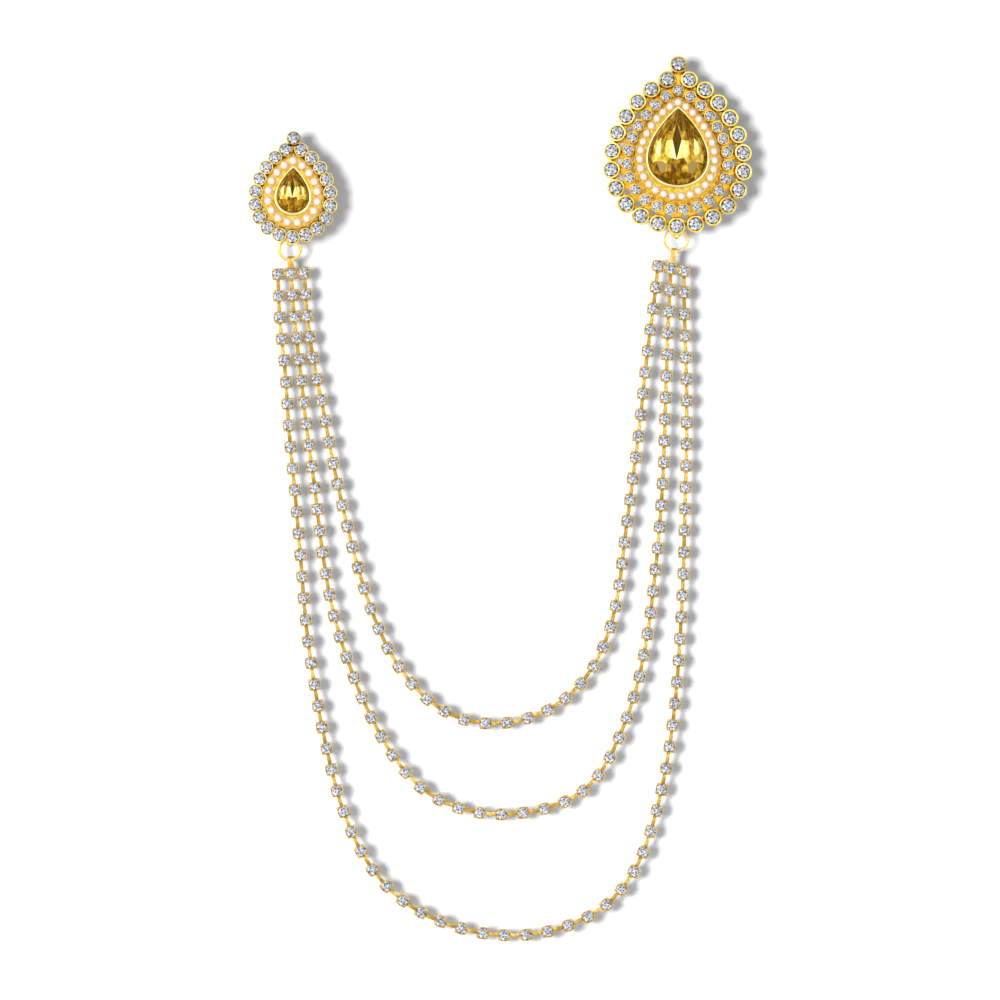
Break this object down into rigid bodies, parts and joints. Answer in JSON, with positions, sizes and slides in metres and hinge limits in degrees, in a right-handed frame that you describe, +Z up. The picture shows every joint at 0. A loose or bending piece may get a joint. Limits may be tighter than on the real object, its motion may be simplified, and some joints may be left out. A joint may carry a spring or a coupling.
{
  "type": "lapel chain",
  "caption": "Gold-tone lapel chain: a large and a small pear-shaped brooch with yellow centre stones and pearl borders, joined by swags of stone-set cup chain.",
  "frame": {"origin": "middle of the stem of the large brooch's pin, where it passes through the cloth", "axes": "+Z up as the chain hangs, -Y forwards, the way the stones face, +X to the right of someone looking at the front"},
  "size_m": [0.1413, 0.0122, 0.2483],
  "materials": {
    "gold": "polished",
    "crystal": "faceted, foil-backed",
    "citrine": "faceted, foil-backed",
    "pearl": "pearlescent"
  },
  "bodies": {
    "root": {"large_frame": "gold", "large_centre_stone": "citrine", "large_outer_stones": "crystal", "large_inner_stones": "crystal", "large_pearls": "pearl", "large_pin": "gold", "large_jump_ring": "gold", "small_frame": "gold", "small_centre_stone": "citrine", "small_stones": "crystal", "small_pearls": "pearl", "small_pin": "gold", "small_jump_ring": "gold", "large_header": "gold", "small_header": "gold", "chain_inner": "gold", "chain_middle": "gold", "chain_outer": "gold"}
  },
  "joints": []
}
